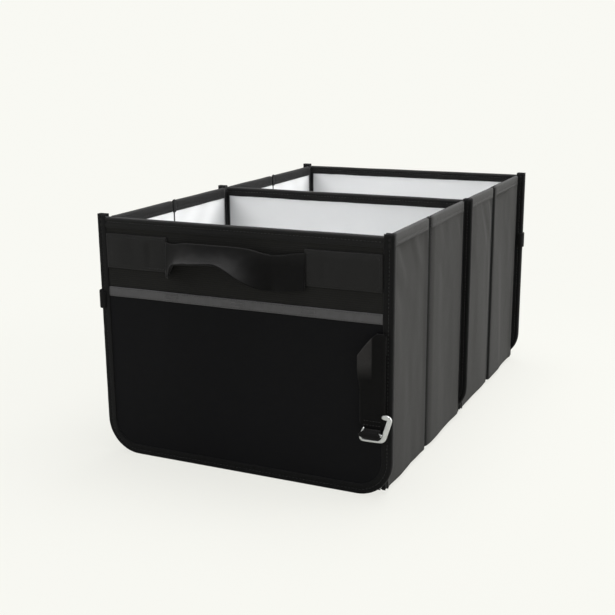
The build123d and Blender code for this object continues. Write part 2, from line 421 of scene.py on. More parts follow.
def webbing(name, dark, pale, upright=True, pitch=1.6, gloss=0.12):
    """Woven strap: ribs across the strap, a herringbone along it and fuzzy colour."""
    m = Material(name)
    run, across = (m.z, m.level) if upright else (m.level, m.z)
    chevron_width, chevron_rise = 7.0, 5.0
    slant = abs((across / (chevron_width * MM)).operate("FRACT") - 0.5)
    height = (slant * (chevron_rise * MM) + run).ripple(pitch) * 0.7 + across.ripple(0.9) * 0.3
    fuzz = m.noise(500.0, 3.0)
    return m.finish((height * 0.6 + fuzz * 0.4).colour(dark, pale), fuzz.span(0.52, 0.74),
                    m.webbing_relief(height, 0.16), sheen=0.06, gloss=gloss)


def two_tone_webbing(name, dark, pale, share, gloss):
    """Webbing that is paler on one part. On the gusset that is its own paler upper side; on the rail, the
    strap's facet and the grip it is painted light. dark and pale are pairs of colours. share(m) gives that
    part.
    """
    m = Material(name)
    height = m.level.ripple(1.0) * 0.6 + m.z.ripple(0.8) * 0.4
    fuzz = m.noise(500.0, 3.0)
    mix = height * 0.5 + fuzz * 0.5
    return m.finish(share(m).colour(mix.colour(*dark), mix.colour(*pale)), fuzz.span(0.55, 0.76),
                    m.webbing_relief(height, 0.14), sheen=0.05, gloss=gloss)


def strap_facet(m):
    """The strap's upper part on the inner side of its lengthwise fold, painted paler as a painted highlight
    where it catches the light.
    """
    fold, fold_blur = (strap_low.x + strap_high.x) / 2, 1.4
    lowest, fade = 118, 16
    beside = ((fold * MM - abs(m.x)) / (fold_blur * MM)).limited()
    return beside * ((m.z - lowest * MM) / (fade * MM)).limited()


def rail_outside(m):
    """The rail's top and outer face, painted paler as painted light; the inner face is painted darker as
    painted shade.
    """
    from_inside, blur = 149.2, 0.8
    return ((abs(m.x) - from_inside * MM) / (blur * MM)).limited()


def grip_light(m):
    """The grip's left third and its upper edge, seen from outside, painted lit. The rest is painted in its
    own shade.
    """
    left_start, left_fade = -22, 34
    edge_depth, edge_fade = 17, 12
    across = m.x * m.y.operate("SIGN") * -1.0
    leftward = ((left_start * MM - across) / (left_fade * MM)).limited()
    upward = ((m.z - (grip_high.z - edge_depth) * MM) / (edge_fade * MM)).limited()
    return leftward.at_least(upward * 0.6)


def gusset_top(m):
    """The upper side of the floor's soft corners."""
    return m.z.operate("GREATER_THAN", (cloth_high.z + 0.15) * MM)


def reflective(name):
    """Retroreflective tape: a fine diamond grid under a slightly glossy film, with scuffs."""
    m = Material(name)
    diamonds = (m.level + m.z).ripple(1.1) * (m.level - m.z).ripple(1.1)
    scuff = m.noise(160.0, 4.0, 0.65)
    colour = (diamonds * 0.35 + scuff * 0.65).colour((0.050, 0.049, 0.050), (0.115, 0.112, 0.116))
    return m.finish(colour, scuff.span(0.32, 0.55), m.bump(diamonds, 0.03), metallic=0.35)


def bright_metal(name):
    """Satin metal with brushing along the bar, faint smears and rubbed spots."""
    m = Material(name)
    stretch = add_node(m.tree, "Mapping", {"Vector": m.place, "Scale": (120.0, 2500.0, 2500.0)})
    lines = m.noise(1.0, 3.0, place=stretch.outputs[0])
    smear = m.noise(220.0, 3.0)
    return m.finish(smear.colour((0.50, 0.51, 0.50), (0.68, 0.69, 0.68)),
                    (lines * 0.6 + smear * 0.4).span(0.24, 0.46), m.bump(lines, 0.02), metallic=0.85)


def hard_board(name):
    """Grey pressed board: fibres, mottling and a dull face."""
    m = Material(name)
    fibre = m.noise(700.0, 4.0, 0.7)
    colour = (fibre * 0.5 + m.noise(40.0, 3.0) * 0.5).colour((0.13, 0.12, 0.11), (0.26, 0.25, 0.23))
    return m.finish(colour, fibre.span(0.72, 0.9), m.bump(fibre, 0.06))


BLACK = face_cloth("outer_cloth")
SIDE = wall_cloth("wall_cloth")
LINING = lining_cloth("lining_cloth")
PAD = fabric("floor_pad_cloth", (0.60, 0.61, 0.62), (0.71, 0.715, 0.72), 0.9, 0.65, 0.1, 0.06, flat=True)
BASE_TONES = ((0.014, 0.014, 0.014), (0.032, 0.032, 0.031))
BASE = fabric("base_cloth", *BASE_TONES, 1.1, rough=0.8, depth=0.12, flat=True)
GUSSET = two_tone_webbing("gusset_cloth", BASE_TONES, ((0.56, 0.57, 0.58), (0.67, 0.675, 0.68)),
                          gusset_top, 0.10)
TAPE_UP = webbing("tape_upright", (0.0018, 0.0018, 0.0018), (0.0052, 0.0051, 0.0050), True, 1.1)
TAPE_FLAT = webbing("tape_level", (0.0055, 0.0054, 0.0052), (0.0150, 0.0147, 0.0140), False, 1.1)
CREASE_TAPE = webbing("crease_tape", (0.0016, 0.0016, 0.0016), (0.0045, 0.0044, 0.0042), True, 1.1, 0.05)
# The rail tape is painted lit on its outer face and painted in shade on its inner face.
RAIL = two_tone_webbing("rail_tape", ((0.0034, 0.0033, 0.0032), (0.0098, 0.0095, 0.0093)),
                        ((0.0205, 0.0200, 0.0196), (0.0500, 0.0490, 0.0480)), rail_outside, 0.14)
STRAP = webbing("strap_webbing", (0.0036, 0.0035, 0.0034), (0.0100, 0.0097, 0.0095), gloss=0.05)
# Painted highlight on the strap's upper facet.
STRAP_FACET = two_tone_webbing("strap_facet_webbing", ((0.0026, 0.0025, 0.0025), (0.0072, 0.0070, 0.0068)),
                               ((0.0190, 0.0180, 0.0175), (0.0420, 0.0400, 0.0390)), strap_facet, 0.05)
HANDLE = webbing("handle_webbing", (0.0082, 0.0080, 0.0077), (0.0205, 0.0200, 0.0192), False, gloss=0.13)
# Painted shade on the grip, with painted light on its left third and upper edge.
GRIP = two_tone_webbing("grip_webbing", ((0.0024, 0.0023, 0.0023), (0.0062, 0.0060, 0.0058)),
                        ((0.0075, 0.0073, 0.0070), (0.0185, 0.0180, 0.0173)), grip_light, 0.08)
GREY_TAPE = reflective("reflective_tape")
METAL = bright_metal("hook_metal")
CORE = hard_board("stiffener_board")
THREAD = fabric("thread", (0.012, 0.012, 0.012), (0.026, 0.0255, 0.025), 0.5, rough=0.55, depth=0.03)
PALE_THREAD = fabric("pale_thread", (0.085, 0.084, 0.083), (0.14, 0.138, 0.135), 0.5, rough=0.5, depth=0.03)


# ---------------------------------------------------------------- CAD nodes that stay, hidden in the cloth
for node, obj in frame["nodes"].items():
    if node.endswith(("_core", "_stiffener")):
        obj.data.materials.clear()
        obj.data.materials.append(CORE)


# ---------------------------------------------------------------- thread
THREAD_SIDES = 6
THREAD_RINGS = 4
THREAD_SINK = 0.12


def stitches(name, path, normal, body, slot, length=2.7, pitch=3.7, thick=0.5, material=THREAD):
    """Separate short threads along a path of points. normal is the way the cloth faces."""
    path = [Vector(p) for p in path]
    total = 0.0
    spans = []
    for a, b in zip(path, path[1:]):
        spans.append((total, a, b))
        total += (b - a).length
    count = max(1, int(total // pitch))
    gap = (total - count * pitch) / 2
    out = Vector(normal).normalized()
    points, faces = [], []
    index = 0
    for k in range(count):
        middle = gap + (k + 0.5) * pitch
        while index + 1 < len(spans) and spans[index + 1][0] <= middle:
            index += 1
        start, a, b = spans[index]
        run = (b - a).normalized()
        centre = a + run * (middle - start)
        across = run.cross(out).normalized()
        rings = []
        for t in steps(THREAD_RINGS, -1, 1):
            radius = thick / 2 * math.sqrt(max(0.0, 1 - abs(t) ** 3)) + 0.02
            here = centre + run * (t * length / 2) + out * (radius - THREAD_SINK - 0.25 * thick * t * t)
            turns = steps(THREAD_SIDES, 0, 2 * math.pi)[:-1]
            rings.append([here + across * (radius * math.cos(turn)) + out * (radius * 0.8 * math.sin(turn))
                          for turn in turns])
        skin(points, faces, rings)
    attach(mesh_piece(name, points, faces, material), body, slot)


# ---------------------------------------------------------------- boards
def outline_path(inset, top):
    """The U of a board's edge, from the top left down, across and up: (across, height, normal)."""
    step = 3.0
    straight = HALF_WIDTH - CORNER
    down = int((top - CORNER) / step)
    wide = int(2 * straight / step)

    def corner(centre, start):
        turns = steps(14, start, start + math.pi / 2)[1:]
        return [(centre + CORNER * math.cos(a), CORNER + CORNER * math.sin(a), (math.cos(a), math.sin(a)))
                for a in turns]

    path = [(-HALF_WIDTH, z, (-1.0, 0.0)) for z in steps(down, top, CORNER)]
    path += corner(-straight, math.pi)
    path += [(x, 0.0, (0.0, -1.0)) for x in steps(wide, -straight, straight)[1:]]
    path += corner(straight, 1.5 * math.pi)
    path += [(HALF_WIDTH, z, (1.0, 0.0)) for z in steps(down, CORNER, top)[1:]]
    return [(x - n[0] * inset, z - n[1] * inset, n) for x, z, n in path]


def half_width_at(height, inset):
    """Half the board's width at a height, inset from its edge."""
    drop = CORNER - height
    if drop <= 0:
        return HALF_WIDTH - inset
    radius = CORNER - inset
    drop = min(radius, drop)
    return HALF_WIDTH - CORNER + math.sqrt(max(0.0, radius * radius - drop * drop))


def face_map(end, face):
    """(across, depth out of the face, height) to the row frame, for a board face looking to that end."""
    def place(across, out, height):
        return (-end * across, end * (face + out), height)
    return place


def tape_profile(depth):
    """Cross-section of folded binding tape: (inwards from the edge, depth below the face).

    The last six points are its inside.
    """
    front = [(TAPE_WIDTH, 0.55), (TAPE_WIDTH - 0.25, 0.16), (TAPE_WIDTH - 0.9, 0.0), (6.5, 0.02), (5.6, 0.28),
             (5.0, 0.46), (4.4, 0.28), (3.5, 0.02), (2.0, 0.0), (0.9, 0.35), (0.25, 1.1), (0.0, 2.3)]
    back = [(a, depth - q) for a, q in reversed(front)]
    inside = [(TAPE_WIDTH, depth - TAPE), (1.5, depth - TAPE), (0.9, depth - 1.6), (0.9, 1.6), (1.5, TAPE),
              (TAPE_WIDTH, TAPE)]
    return front + back + inside


def tape_ring(place, across, height, normal, profile, seed, grow=0.0):
    """One ring of the tape at a point of the edge. grow makes the tape thicker or, below 0, thinner."""
    ring = []
    outside = len(profile) - 6
    for i, (a, q) in enumerate(profile):
        pucker = 0.16 * wave(across, height, i * 3.0, 5.0, seed) if i < outside else 0.0
        edge = 0.30 * wave(across, height, 0, 17.0, seed + 4) if a > 8 else 0.0
        inward = a + edge - grow
        out = -q + pucker * (1 if q < 2 else -1) + grow * (0.5 if q < 3 else -0.5)
        ring.append(place(across - normal[0] * inward, out, height - normal[1] * inward))
    return ring


def binding(name, end, face, depth, body, node, seed, stand_up):
    """Side and bottom tape in one run, top tape between its ends, and two rows of stitches on each face."""
    place = face_map(end, face)
    profile = tape_profile(depth)
    rings = [tape_ring(place, x, z, n, profile, seed) for x, z, n in outline_path(0, BOARD_TOP + stand_up)]
    attach(tube(name + "_edge", rings, TAPE_UP), body, "binding_tape", node)
    reach = HALF_WIDTH - 1.6
    rings = []
    for x in steps(int(2 * reach / 3.5), -reach, reach):
        sag = 0.35 * wave(x, 0, 0, 60.0, seed + 2)
        rings.append(tape_ring(place, x, BOARD_TOP - 0.4 + sag, (0.0, 1.0), profile, seed + 1, -0.25))
    attach(tube(name + "_top", rings, TAPE_FLAT), body, "binding_tape")
    for label, out, face_level in (("front", 1, 0.0), ("back", -1, -depth)):
        normal = (0, end * out, 0)
        level = face_level - out * 0.34
        run = [place(x, level, z) for x, z, n in outline_path(TAPE_SEAM, BOARD_TOP - 11)]
        stitches(f"{name}_{label}_stitches", run, normal, body, "binding_tape")
        run = [place(x, level, BOARD_TOP - 5.4) for x in (-HALF_WIDTH + 11, HALF_WIDTH - 11)]
        stitches(f"{name}_{label}_top_stitches", run, normal, body, "binding_tape")


def board_sheet(name, end, face, level, material, slot, body, node, seed, swell, looking=1):
    """A fabric face of a board, inside its binding, with slight waves. level is its outer face's depth."""
    place = face_map(end, face)
    low = 2.2
    high = BOARD_TOP - low

    def surface(r, c, front):
        height = low + (high - low) * (0.55 * r + 0.45 * r * r)
        half = half_width_at(height, low)
        across = (2 * c - 1) * half
        near_edge = min(half - abs(across), high - height, height - low)
        free = smooth_step((near_edge - 7.5) / 14)
        waves = 0.7 * wave(across, 0, height, 70, seed) + 0.3 * wave(across, 0, height, 24, seed + 5)
        lift = swell * free * waves
        return place(across, level + looking * (lift - (0 if front else BOARD_CLOTH)), height)

    attach(sheet(name, 74, 92, surface, material), body, slot, node)


for end_name, end in ENDS:
    seed = 1.0 if end < 0 else 9.0
    body = end_name + "_board"
    binding(f"{end_name}_binding", end, BOARD_FACE, BOARD_DEPTH, body, body + "_binding", seed, 2.0)
    board_sheet(f"{end_name}_face", end, BOARD_FACE, -TAPE, BLACK, "outer_fabric", body, body + "_cover",
                seed, 0.55)
    board_sheet(f"{end_name}_inner_face", end, BOARD_FACE, TAPE - BOARD_DEPTH, LINING, "lining_fabric", body,
                body + "_lining", seed + 2, 0.5, -1)
    board_sheet(f"divider_{end_name}_face", end, DIVIDER_FACE, -TAPE, LINING, "lining_fabric", "divider",
                f"divider_{end_name}_lining", 6.5 + end / 2, 0.5)

binding("divider_tape", -1, DIVIDER_FACE, 2 * DIVIDER_FACE, "divider", "divider_binding", 5.0, 0.7)


# ---------------------------------------------------------------- side walls
def wall_map(side):
    """(out of the wall, along Y, height) to the row frame. out is 0 at the wall's outer face."""
    def place(out, along, height):
        return (side * (WALL_OUT + out), along, height)
    return place


def hem(part, distance):
    """How far the outer cloth turns in towards the crease: a soft slope, then a sharp roll."""
    slope, slope_width, roll_width, roll = HEM_SHAPES[part]
    run = max(0.0, distance - WEB_HALF_GAP)
    soft = slope * smooth_step(1 - run / slope_width)
    share = max(0.0, 1 - run / roll_width)
    return soft + roll * (1 - math.sqrt(max(0.0, 1 - share ** 2.4)))


class Panel:
    """One panel of a side wall. A distance is measured along it from the wall's crease."""

    def __init__(self, bay_name, bay, side_name, side, part):
        self.body = f"{bay_name}_{side_name}_{part}"
        self.bay, self.side, self.part = bay, side, part
        self.place = wall_map(side)
        outer = part == "outer"
        self.direction = 1 if outer else -1
        self.start = CREASE + 0.3 * self.direction
        self.length = abs(PANEL_END[part] - self.start)
        self.rail_start = 4.0 if side > 0 else 0.9
        self.seed = 3.0 + 2.1 * bay + 1.3 * side + (0.7 if outer else 0.0)

    def along(self, distance):
        return self.bay * (self.start + self.direction * distance)

    def cloth_wave(self, distance, height):
        """Inward waves of the outer cloth: broad upright ones, and slanting wrinkles near the top."""
        y = self.along(distance)
        free = smooth_step((distance - WEB_HALF_GAP) / 14) * smooth_step((self.length - distance) / 9)
        broad = 1.25 * wave(y + 0.10 * height, height * 0.16, 0, 52, self.seed)
        narrow = 0.22 * wave(y, height * 0.35, 0, 19, self.seed + 3)
        slant = 0.9 * wave(0.75 * y + 0.6 * height, 0.14 * (y - height), 0, 19, self.seed + 5)
        high = smooth_step((height - 140) / 90)
        level = smooth_step(0.62 + 0.9 * (broad + narrow + slant * high))
        return -WAVE_DEPTH * free * (1 - level)

    def cover(self):
        """The outer cloth, which stops at the crease's webbing. Its columns are closer near the crease."""
        def surface(r, c, front):
            distance = WEB_HALF_GAP + (self.length - WEB_HALF_GAP) * (0.35 * c + 0.65 * c * c)
            height = PANEL_LOW + (PANEL_TOP - 2 - PANEL_LOW) * r
            turned = hem(self.part, distance)
            depth = turned if front else min(turned + WALL_CLOTH, COVER_DEPTH)
            out = self.cloth_wave(distance, height) - PANEL_INSET - depth
            return self.place(out, self.along(distance), height)

        cloth = sheet(self.body + "_cloth", 84, 70, surface, SIDE)
        attach(cloth, self.body, "outer_fabric", self.body + "_cover")

    def lining(self):
        def surface(r, c, front):
            distance = self.length * (0.45 * c + 0.55 * c * c)
            height = PANEL_LOW + (RAIL_LOW + 1.5 - PANEL_LOW) * r
            free = smooth_step(distance / 10) * smooth_step((self.length - distance) / 6)
            y = self.along(distance)
            lift = free * (0.22 * wave(y, height * 0.4, 0, 30, self.seed + 8)
                           + 0.2 * wave(0.8 * y + 0.5 * height, 0.2 * (y - height), 0, 17, self.seed + 9))
            round_off = 0.35 * bell(distance, 1.5)
            out = -WALL_DEPTH + 0.15 + lift + (0.0 if front else WALL_CLOTH) + round_off
            return self.place(out, y, height)

        cloth = sheet(self.body + "_lining_cloth", 60, 44, surface, LINING)
        attach(cloth, self.body, "lining_fabric", self.body + "_lining")

    def rail(self):
        """Tape folded over the panel's top edge, with a rounded end at the crease."""
        outer_x, inner_x = 0.1, -WALL_DEPTH - 0.55
        middle = (outer_x + inner_x) / 2
        half = (outer_x - inner_x) / 2
        rise = half * 0.85
        # One face from its lower edge up, with the stitched dip: (in from the face, above the edge).
        face = [(0.35, -0.2), (0.0, 0.5), (0.0, 2.4), (0.32, RAIL_SEAM), (0.0, 4.0)]
        profile = [(outer_x - a, RAIL_LOW + h) for a, h in face]
        profile += [(middle + half * math.cos(turn), PANEL_TOP - rise + rise * math.sin(turn))
                    for turn in steps(7, 0, math.pi)]
        profile += [(inner_x + a, RAIL_LOW + h) for a, h in reversed(face)]
        profile += [(inner_x + 0.9, RAIL_LOW - 0.1), (inner_x + 0.9, PANEL_TOP - 2.2),
                    (outer_x - 0.9, PANEL_TOP - 2.2), (outer_x - 0.9, RAIL_LOW - 0.1)]
        rings = []
        for distance in steps(40, self.rail_start, self.length):
            y = self.along(distance)
            curl = 1.5 * bell(distance - self.rail_start, 2.2)
            drop = 1.6 * bell(distance - self.rail_start, 2.0)
            sag = 0.3 * wave(y, 0, 0, 45.0, self.seed + 12)
            ring = []
            for j, (out, height) in enumerate(profile):
                bumpy = 0.12 * wave(y, height, j, 6.0, self.seed + 11)
                looking = 1 if out > middle else -1
                level = height + sag - (drop if height > PANEL_TOP - 3 else 0.0)
                ring.append(self.place(out + looking * (bumpy - curl), y, level))
            rings.append(ring)
        attach(tube(self.body + "_rail", rings, RAIL), self.body, "binding_tape")

    def threads(self):
        """Stitches along both faces of the rail, and down the outer cloth beside the crease."""
        span = [self.along(self.rail_start + 1.5), self.along(self.length - 0.5)]
        for label, out, normal in (("", -0.30, self.side), ("_inner", 0.02 - WALL_DEPTH, -self.side)):
            path = [self.place(out, y, RAIL_LOW + RAIL_SEAM) for y in span]
            stitches(f"{self.body}_rail{label}_stitches", path, (normal, 0, 0), self.body, "binding_tape")
        reach = 4.4 if self.part == "outer" else 6.0
        out = -PANEL_INSET - hem(self.part, reach)
        path = [self.place(out, self.along(reach), z) for z in (RAIL_LOW - 3, PANEL_LOW + 4)]
        stitches(self.body + "_crease_stitches", path, (self.side, 0, 0), self.body, "binding_tape",
                 2.0, 3.0, 0.45)


def corner_web(bay_name, bay, side_name, side, part):
    """Black tape that joins a panel's end to its board, outside and inside."""
    place = wall_map(side)
    board_y, owner = (BOARD_INNER, f"{bay_name}_board") if part == "outer" else (DIVIDER_FACE, "divider")
    panel_y = PANEL_END[part]
    away = 1 if panel_y > board_y else -1
    past = 1.2 * away
    across = [(t, board_y + (panel_y + past - board_y) * t) for t in steps(8)]
    rings = []
    for height in steps(41, PANEL_LOW + 0.5, PANEL_TOP - 0.7):
        ring = [place(-0.62 - 0.9 * math.sin(math.pi * t) + 0.1 * wave(y, height, 0, 9, 2), bay * y, height)
                for t, y in across]
        ring += [place(-WALL_DEPTH + 0.1 + 0.5 * math.sin(math.pi * t), bay * y, height)
                 for t, y in reversed(across)]
        rings.append(ring)
    panel = f"{bay_name}_{side_name}_{part}"
    web = tube(panel + "_web", rings, TAPE_UP)
    attach(web, None, "binding_tape")
    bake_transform(web)


def crease_web(bay_name, bay, side_name, side):
    """Webbing down a wall's crease, under both panels' rolled edges.

    On the right wall it rides on no body. On the left wall the panels only meet, so it
    belongs to the outer one and just reaches over to the inner one.
    """
    place = wall_map(side)
    reach = {1: 3.8, -1: 3.6 if side > 0 else 2.3}
    across = [(t, bay * (CREASE + t * reach[1 if t > 0 else -1])) for t in steps(12, -1, 1)]
    rings = []
    for height in steps(59, PANEL_LOW + 1, PANEL_TOP - 0.4):
        ring = [place(-2.6 - 0.6 * t * t + 0.15 * wave(3 * t, height, 0, 6, bay), y, height)
                for t, y in across]
        rings.append(ring + [place(-WALL_DEPTH + 0.35, y, height) for t, y in reversed(across)])
    web = tube(f"{bay_name}_{side_name}_crease_web", rings, CREASE_TAPE)
    if side > 0:
        attach(web, None, "binding_tape")
        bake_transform(web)
    else:
        attach(web, f"{bay_name}_left_outer", "binding_tape")
        crease_cap(bay_name, bay, place)


def crease_cap(bay_name, bay, place):
    """A short end of tape that stands up over the left crease and laps the rails on their inner face."""
    rings = []
    for t in steps(8, -1, 1):
        crown = math.sqrt(1 - 0.8 * t * t)
        y = bay * (CREASE + 3.4 * t)
        top = PANEL_TOP + 2.4 * crown - 0.6
        low = RAIL_LOW - 1.2 - 0.8 * crown
        front, back = -WALL_DEPTH - 0.75 - 0.55 * crown, -WALL_DEPTH + 0.9
        outline = [(front, low), (front - 0.2, (low + top) / 2), (front, top - 1.0),
                   ((front + back) / 2, top), (back, top - 0.8), (back, low + 0.6)]
        rings.append([place(out, y, height) for out, height in outline])
    attach(tube(f"{bay_name}_left_crease_cap", rings, TAPE_UP, 2), f"{bay_name}_left_outer", "binding_tape")


for bay_name, bay in ENDS:
    for side_name, side in (("left", -1), ("right", 1)):
        for part in ("outer", "inner"):
            panel = Panel(bay_name, bay, side_name, side, part)
            panel.cover()
            panel.lining()
            panel.rail()
            panel.threads()
            corner_web(bay_name, bay, side_name, side, part)
        crease_web(bay_name, bay, side_name, side)


# ---------------------------------------------------------------- handles
def handle_tail(end_name, end, label, span, seed, dent_at, *nodes):
    """A sewn end of the handle: webbing with soft waves across and a box of stitches."""
    body = end_name + "_board"
    place = face_map(end, BOARD_FACE)
    low, high = span
    bottom, top = tails_low.z, tails_high.z

    def surface(r, c, front):
        height = bottom + (top - bottom) * r
        across = low + (high - low) * c
        rim = min(r, 1 - r)
        free = smooth_step(rim / 0.2) * smooth_step(min(c, 1 - c) / 0.12)
        dent = 1.0 * bell(across - dent_at, 3.5) * bell(height - (bottom + top) / 2, 11)
        lift = free * (1.1 * wave(across, height * 0.25, 0, 15, seed) + 0.55 - dent)
        edge = 0.25 * wave(across, 0, 0, 20, seed + 2) * (1 - 2 * rim)
        raised = WEBBING + 0.25 * smooth_step(rim / 0.08) + lift if front else 0.1 + 0.6 * max(0.0, lift)
        return place(across, raised - TAPE, height + edge)

    attach(sheet(f"{end_name}_handle_tail_{label}", 26, 48, surface, HANDLE), body, "webbing", *nodes)
    margin = 3.0
    left, right, lower, upper = low + margin, high - margin, bottom + margin, top - margin
    box = [(left, lower), (right, lower), (right, upper), (left, upper), (left, lower)]
    path = [place(x, WEBBING + 0.16 - TAPE, z) for x, z in box]
    stitches(f"{end_name}_handle_stitches_{label}", path, (0, end, 0), body, "webbing", 2.3, 3.2)


def grip_shape(t):
    """The loose middle at t from 0 (left) to 1 (right): top height, curl in degrees, stand-off."""
    swell = math.sin(math.pi * t)
    top = grip_high.z - 4.0 - 1.9 * bell(t - 0.06, 0.05) + 1.6 * swell - 4.6 * bell(t - 0.79, 0.13)
    left_curl = (100.0 + 40.0 * t) * smooth_step(t / 0.16) * (1 - smooth_step((t - 0.44) / 0.36))
    right_curl = -13.0 * smooth_step((t - 0.54) / 0.20) * (1 - smooth_step((t - 0.70) / 0.18))
    off = 1.2 + 6.0 * swell ** 1.2
    return top, left_curl + right_curl, off


def grip_section(t, s):
    """A point s down the webbing (0 top, 1 bottom), and the way it faces there, in radians up from level."""
    top, curl, off = grip_shape(t)
    lean = 3 + 0.35 * min(curl, 0.0)
    curl = curl if abs(curl) > 0.5 else 0.5
    first, last = math.radians(lean), math.radians(lean + curl)
    facing = first + (last - first) * s
    bend = (last - first) / (grip_high.z - grip_low.z)
    out = off + (math.cos(first) - math.cos(facing)) / bend
    height = top - (math.sin(facing) - math.sin(first)) / bend
    return out, height, facing


def handle_grip(end_name, end, left, right):
    """The slack middle: its lower edge curls out and up on the left, and its top dips on the right."""
    place = face_map(end, BOARD_FACE)
    middle = Vector(place((left + right) / 2, 0, 0)) * MM
    for label, first, fixed, inner_end in (("left", 0.0, left, 1), ("right", 0.5, right, 0)):
        def surface(r, c, front):
            t = first + 0.5 * c
            out, height, facing = grip_section(t, 1 - r)
            across = left + (right - left) * t
            free = smooth_step(min(t, 1 - t) / 0.1)
            waves = 0.7 * wave(across, height * 0.2, 0, 17, 21) + 0.5 * wave(across, height, 0, 9, 22)
            edge = free * waves + (WEBBING if front else 0.0)
            return place(across, -TAPE + out + edge * math.cos(facing), height + edge * math.sin(facing))

        half = sheet(f"{end_name}_handle_grip_{label}", 26, 50, surface, GRIP, inner_end)
        attach(half, None, "webbing", *([f"{end_name}_handle_grip"] if label == "left" else []))
        sewn_end = Vector(place(fixed, 0, 0)) * MM
        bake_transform(half)


# The two sewn ends start and stop where the one CAD node that holds both does.
tail_edges = sorted({round(v.co.x / MM, 2) for v in frame["nodes"]["front_handle_tails"].data.vertices})
LEFT_TAIL = (tail_edges[0], max(x for x in tail_edges if x < 0))
RIGHT_TAIL = (min(x for x in tail_edges if x > 0), tail_edges[-1])


# ---------------------------------------------------------------- grey strip and tabs
def face_strip(end_name, end):
    """Grey reflective tape across the face, sewn along both edges and tacked by three boxes of stitches."""
    body = end_name + "_board"
    place = face_map(end, BOARD_FACE)
    seed = 30.0 + end
    left, right = strip_low.x, strip_high.x
    low, high = strip_low.z, strip_high.z

    def lift(across):
        return 0.25 * wave(across, 0, 0, 34, seed + 1)

    def sag(across):
        return 0.35 * wave(across, 0, 0, 60, seed)

    def surface(r, c, front):
        across = left + (right - left) * c
        raised = 0.55 + 0.2 * smooth_step(min(r, 1 - r) / 0.12) + lift(across) if front else 0.0
        return place(across, raised - TAPE, low + (high - low) * r + sag(across))

    tape = sheet(f"{end_name}_grey_tape", 12, 110, surface, GREY_TAPE)
    attach(tape, body, "reflective_tape", f"{end_name}_reflective_strip")
    for label, height in (("low", low + 1.3), ("high", high - 1.3)):
        path = [place(x, 0.75 - TAPE + lift(x), height + sag(x)) for x in steps(59, left + 1, right - 1)]
        stitches(f"{end_name}_grey_tape_stitches_{label}", path, (0, end, 0), body, "reflective_tape",
                 1.9, 2.9, 0.38)
    tack_half, tack_rise = 7, 1.8
    box = [(-tack_half, -tack_rise), (tack_half, -tack_rise), (tack_half, tack_rise), (-tack_half, tack_rise)]
    for k in (-1, 0, 1):
        path = [place(k * right / 2 + a, -0.05, (low + high) / 2 + h) for a, h in box + box[:1]]
        stitches(f"{end_name}_grey_tape_tack_{k + 1}", path, (0, end, 0), body, "reflective_tape",
                 1.2, 1.35, 0.6, PALE_THREAD)


def side_tab(end_name, end):
    """Webbing tab folded round the left binding. The rear one lies closer to the edge."""
    place = face_map(end, BOARD_FACE)
    inner = 6.5 - HALF_WIDTH
    slack = 0.0 if end < 0 else 1.1
    turn = slack - HALF_WIDTH
    near_edge = 1.5 - HALF_WIDTH
    back = -BOARD_DEPTH
    path = [(inner, 0.30), (inner - 2.5, 0.85), (near_edge, 1.0), (turn - 0.9, 0.4), (turn - 2.0, -1.6),
            (turn - 2.2, back / 2), (turn - 2.0, back + 1.6), (turn - 0.9, back - 0.4),
            (near_edge, back - 0.9), (inner - 2.5, back - 0.8), (inner, back - 0.3)]
    path = [Vector(p) for p in path]
    centre = Vector((3.0 - HALF_WIDTH, back / 2))
    levels = steps(8, tab_low.z, tab_high.z)
    rings = []
    for i, here in enumerate(path):
        run = (path[min(len(path) - 1, i + 1)] - path[max(0, i - 1)]).normalized()
        away = Vector((run.y, -run.x))
        if away.dot(here - centre) < 0:
            away = -away
        outside, inside = here + away * 0.95, here - away * 0.05
        rings.append([place(*outside, z) for z in levels] + [place(*inside, z) for z in reversed(levels)])
    tab = tube(f"{end_name}_side_tab", rings, STRAP, 1)
    attach(tab, end_name + "_board", "webbing", f"{end_name}_closure_tab")


# ---------------------------------------------------------------- closure straps and hooks
def fold_height(c):
    """Height of the strap's folded top edge, at c from 0 (left) to 1 (right)."""
    return strap_high.z - STRAP_SLANT * max(0.0, 1 - c / STRAP_SLANT_SHARE) ** 1.25


def stand_off(c, height):
    """How far the strap stands off the board: most left of its lengthwise crease, and near its top."""
    slack = (STRAP_CREASE - c) / STRAP_CREASE
    raised = 0.5 * (slack + math.sqrt(slack * slack + 0.012))
    lift = 7.0 * smooth_step((height - 104) / 26)
    across = c * (strap_high.x - strap_low.x)
    gather = (0.35 + 0.3 * wave(across, height * 0.3, 0, 7, 6)) * bell(height - LOOP_HEIGHT, 14)
    return STRAP_GAP + 0.25 + lift * raised + gather


